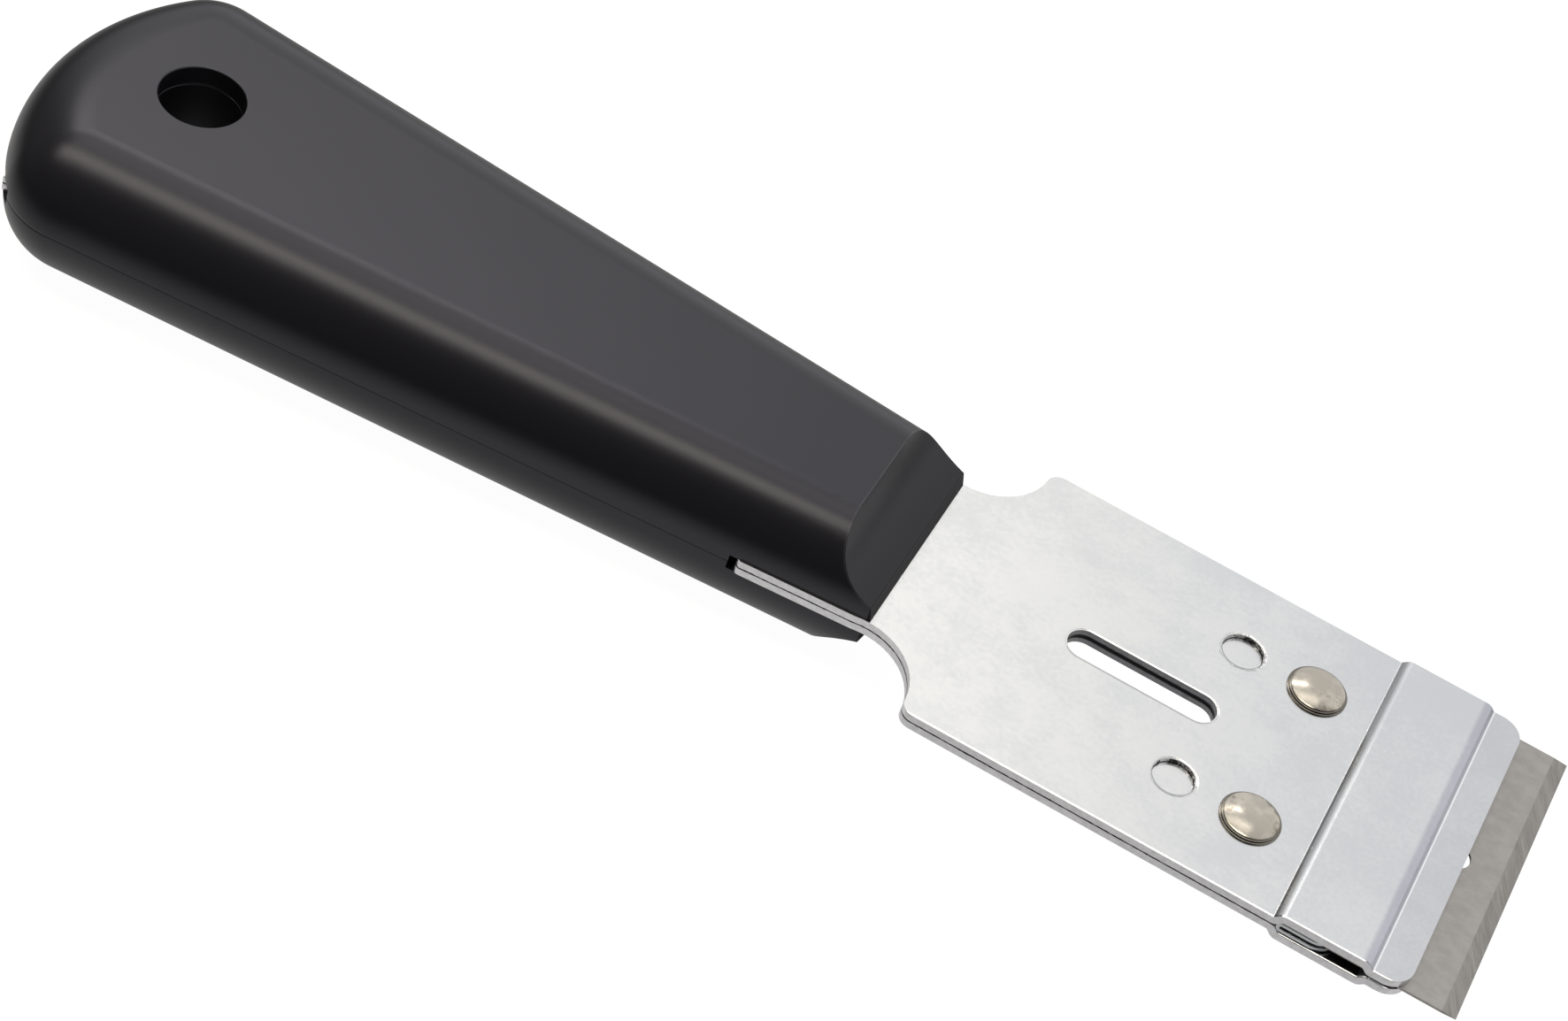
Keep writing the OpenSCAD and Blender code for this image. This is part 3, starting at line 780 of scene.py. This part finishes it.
def copyNode(node, name, edge):
    width, segments, angle = edge
    bm = bmesh.new()
    bm.from_mesh(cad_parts[node].data)
    larger = 1 / millimetre
    bmesh.ops.scale(bm, verts=bm.verts[:], vec=(larger, larger, larger))
    bmesh.ops.remove_doubles(bm, verts=bm.verts[:], dist=tool["merge"])
    bmesh.ops.dissolve_limit(bm, angle_limit=radians(steel["flat"]), verts=bm.verts[:], edges=bm.edges[:])
    roundEdges(bm, sharpEdges(bm, angle), width, segments)
    piece = toObject(bm, name, lift=0)
    smoothFaces(piece, steel["sharp"])
    return piece


def makeSteelParts(plated):
    for node, name in (("plate_upper", "plateUpper"), ("plate_lower", "plateLower")):
        dress(copyNode(node, name, steel["plate"]), node, plated)
    leaf = copyNode("spring_leaf", "springLeaf", steel["leaf"])
    dress(leaf, "spring_leaf", makeSpring())
    blade = copyNode("blade", "scraperBlade", steel["blade"])
    dress(blade, "blade", makeBladeSteel(), "blade")


makeSteelParts(makePlating())
print("plates, leaf and blade made")


# rivets: a domed head over a stepped rim, and a hollow clinched end below

rivet = {
    "at": 26.8,  # back from the cutting edge
    "side": 10.5,
    "dome": 3.01,
    "domeHeight": 0.6,
    "domeSteps": 14,
    "top": 0.5,  # both rims' height above the plate
    # radius and height of each corner of the rims, with a groove under the dome and one between them
    "rims": ((3.01, 0.44), (2.92, 0.42), (2.92, 0.38), (3.18, 0.37), (3.18, 0.24), (3.02, 0.22), (3.02, 0.18),
             (3.35, 0.17), (3.35, 0.0)),
    "shank": 1.9,
    "clinch": 1.2,
    "clinchSteps": 8,
    "roof": 0.2,  # of the hollow, below the plates' upper face
    "steps": 96,
    "edge": 0.03,
    "edgeSegments": 2,
    "edgeSharp": 40,  # degrees of the edges that are rounded
    "sharp": 60,  # degrees, above which an edge looks sharp
}

nickel = {
    "colour": (0.56, 0.52, 0.45),
    "tarnish": (0.17, 0.135, 0.10),
    "tarnishShare": 0.75,
    "shadedRimsFrom": (2.98, 3.10),  # from this radius on the rims are painted dark, as shade under the dome
    "shadedRimsShare": 0.85,
    "rough": 0.22,
    # noises: scale per metre, detail and roughness
    "cloud": (420, 3, 0.55),
    "stain": (330, 4, 0.65),
    "grain": (3000, 3, 0.6),
    "stainShift": (0.013, 0.004, 0),  # in metres
    "cloudDepth": 0.06,
    "grainDepth": 0.003,
}


def makeNickel():
    n = nickel
    f = Finish(bpy.data.materials.new("wornNickel"), Metallic=1.0)
    cloud = f.noise(*n["cloud"])
    stain = f.noise(*n["stain"], f.squeezed((1, 1, 1), n["stainShift"]))
    grain = f.noise(*n["grain"])
    fromAxis = reach(f.along("X") - at(rivet["at"]), abs(f.along("Y")) - rivet["side"])
    # painted shade over the rims under the dome
    rims = f.ramp(fromAxis + grain * 0.1, *n["shadedRimsFrom"])
    dome = f.blend(f.ramp(cloud, 0.38, 0.66), shade(n["colour"], 0.78), n["colour"])
    dome = f.blend(f.ramp(stain + fromAxis * 0.04, 0.66, 0.78) * n["tarnishShare"], dome, n["tarnish"])
    f.feed(Base_Color=f.blend(rims * n["shadedRimsShare"], dome, shade(n["colour"], 0.24)),
           Roughness=cloud * 0.14 + grain * 0.05 + (n["rough"] - 0.09),
           Normal=f.bump(cloud, n["cloudDepth"], 0.6, f.bump(grain, n["grainDepth"], 0.5)))
    return f.owner


def makeRivet(name, node, side, finish):
    r = rivet
    base = tool["platesHalf"]
    ball = (r["dome"] ** 2 + r["domeHeight"] ** 2) / (2 * r["domeHeight"])
    top = base + r["top"] + r["domeHeight"]
    arc, hollowArc = asin(r["dome"] / ball), asin(r["clinch"] / ball)
    rims = [(radius, 0, base + height) for radius, height in r["rims"]]
    under = [(radius, 0, -height) for radius, _, height in reversed(rims)]
    bm = bmesh.new()
    # the dome's arc from its crown, then the rims, the shank and the clinched end
    crown = bmesh.ops.create_vert(bm, co=(0, 0, top))["vert"][0]
    bmesh.ops.spin(bm, geom=[crown], cent=(0, 0, top - ball), axis=(0, 1, 0), angle=arc, steps=r["domeSteps"])
    last = max(bm.verts, key=lambda v: v.co.x)
    shank = [(r["shank"], 0, base), (r["shank"], 0, -base)]
    shoulder = extendTo(bm, last, rims + shank + under + [(r["dome"], 0, -base - r["top"])])
    bmesh.ops.spin(bm, geom=[shoulder], cent=(0, 0, ball - top), axis=(0, 1, 0), angle=arc - hollowArc,
                   steps=r["clinchSteps"])
    last = min(bm.verts, key=lambda v: v.co.z)
    extendTo(bm, last, [(r["clinch"], 0, base - r["roof"]), (0, 0, base - r["roof"])])
    bmesh.ops.spin(bm, geom=bm.verts[:] + bm.edges[:], cent=(0, 0, 0), axis=(0, 0, 1), angle=radians(360),
                   steps=r["steps"], use_merge=True)
    bmesh.ops.remove_doubles(bm, verts=bm.verts[:], dist=tool["merge"])
    bmesh.ops.recalc_face_normals(bm, faces=bm.faces[:])
    roundEdges(bm, sharpEdges(bm, r["edgeSharp"]), r["edge"], r["edgeSegments"])
    bmesh.ops.translate(bm, verts=bm.verts[:], vec=(at(r["at"]), side * r["side"], 0))
    piece = toObject(bm, name)
    smoothFaces(piece, r["sharp"])
    dress(piece, node, finish)


nickelFinish = makeNickel()
for name, node, side in (("rivetLeft", "rivet_left", 1), ("rivetRight", "rivet_right", -1)):
    makeRivet(name, node, side, nickelFinish)
print("rivets made")


# floor and room; the camera sees both as white, and the metal mirrors the pale part of the floor

floorLook = {
    "size": 4.0,  # in metres, as is the drop
    "drop": 0.0002,
    "pale": (0.9, 0.9, 0.9),
    "dim": (0.06, 0.06, 0.06),
    "nearFrom": (-75, -4),  # across, where the dim floor turns pale, under the tool and behind it
    "leftFrom": (-150, -70),  # the same along
    "fadeFrom": (20, 50),  # and across, where it fades again
    "fade": 0.55,
    "white": 1.1,
    "shadow": 0.12,
    "mirrored": 0.5,
    "rough": 0.9,
}


def makeFloor():
    look = floorLook
    bm = bmesh.new()
    bmesh.ops.create_grid(bm, x_segments=2, y_segments=2, size=look["size"])
    floor = toObject(bm, "floor", 1, -look["drop"])
    f = Finish(bpy.data.materials.new("paleFloor"), Roughness=look["rough"])
    x, y = f.along("X"), f.along("Y")
    near = f.ramp(y, *look["nearFrom"]) * f.ramp(x, *look["leftFrom"])
    near = near * (1 - f.ramp(y, *look["fadeFrom"]) * look["fade"])
    seen = f.add("ShaderNodeLightPath", out="Is Camera Ray")
    mirrored = f.add("ShaderNodeLightPath", out="Is Glossy Ray")
    f.feed(Base_Color=f.blend(near + seen * (1 - near), look["dim"], look["pale"]))
    strength = seen * look["white"] + mirrored * near
    white = f.add("ShaderNodeEmission", {"Color": (1, 1, 1), "Strength": strength})
    f.cover(seen * (1 - look["shadow"]) + mirrored * look["mirrored"], white)
    floor.data.materials.append(f.owner)


room = {
    "rise": (0.28, 0.8, 0.36),  # the light grows along X, Y and Z by these shares
    "riseFrom": (0.04, 0.81),
    "dark": 0.11,
    "bright": 1.0,
    "right": (0.35, 0.85),  # the two ends of the room are paler
    "left": (-0.5, -0.95),
    "leftShare": 0.3,
    "ends": 0.55,
}


def makeWorld():
    r = room
    world = bpy.data.worlds.new("studio")
    bpy.context.scene.world = world
    f = Finish(world, "Background", "Generated", Color=(1, 1, 1))
    x, y, z = f.axis("X"), f.axis("Y"), f.axis("Z")
    alongX, alongY, alongZ = r["rise"]
    light = f.ramp(y * alongY + z * alongZ + x * alongX, *r["riseFrom"], r["dark"], r["bright"])
    ends = f.ramp(x, *r["right"]) + f.ramp(x, *r["left"]) * r["leftShare"]
    light = light.atLeast(ends * r["ends"])
    seen = f.add("ShaderNodeLightPath", out="Is Camera Ray")
    f.feed(Strength=light + (1 - light) * seen)


# lamps and camera; places and sizes in metres

lamps = {
    # name: place, size, power in watts, colour
    "overhead": ((-0.28, -0.17, 0.90), (1.0, 0.26), 3.8, (1.0, 0.94, 0.81)),
    "between": ((-0.22, 0.24, 0.95), (0.9, 0.24), 0.9, (1.0, 0.95, 0.87)),
    "behind": ((-0.55, 0.67, 0.90), (0.75, 0.08), 1.7, (1.0, 0.95, 0.90)),
}

lampsAim = (-0.03, 0, 0.009)


def makeLamps():
    for name, (place, size, power, colour) in lamps.items():
        light = bpy.data.lights.new(name, "AREA")
        light.shape = "RECTANGLE"
        light.size, light.size_y = size
        light.energy = power
        light.color = colour
        lamp = bpy.data.objects.new(name, light)
        bpy.context.scene.collection.objects.link(lamp)
        # its long side lies along the tool
        back = (Vector(place) - Vector(lampsAim)).normalized()
        side = (Vector((1, 0, 0)) - back * back.x).normalized()
        turn = Matrix((side, back.cross(side), back)).transposed()
        lamp.matrix_world = Matrix.Translation(place) @ turn.to_4x4()


view = {
    "place": (0.05383, -0.27504, 0.28032),
    "turn": (43.418, -15.259, 25.861),  # in degrees, about X, Y and Z
    "lens": 85.304,
    "sensor": 36,
    "clip": (0.01, 20),
}


def makeCamera():
    data = bpy.data.cameras.new("camera")
    data.lens = view["lens"]
    data.sensor_width = view["sensor"]
    data.clip_start, data.clip_end = view["clip"]
    camera = bpy.data.objects.new("camera", data)
    bpy.context.scene.collection.objects.link(camera)
    turn = Euler([radians(angle) for angle in view["turn"]])
    camera.matrix_world = Matrix.Translation(view["place"]) @ turn.to_matrix().to_4x4()
    bpy.context.scene.camera = camera


makeFloor()
makeWorld()
makeLamps()
makeCamera()
bpy.context.scene.view_settings.view_transform = "Standard"
print("stage, lamps and camera made")
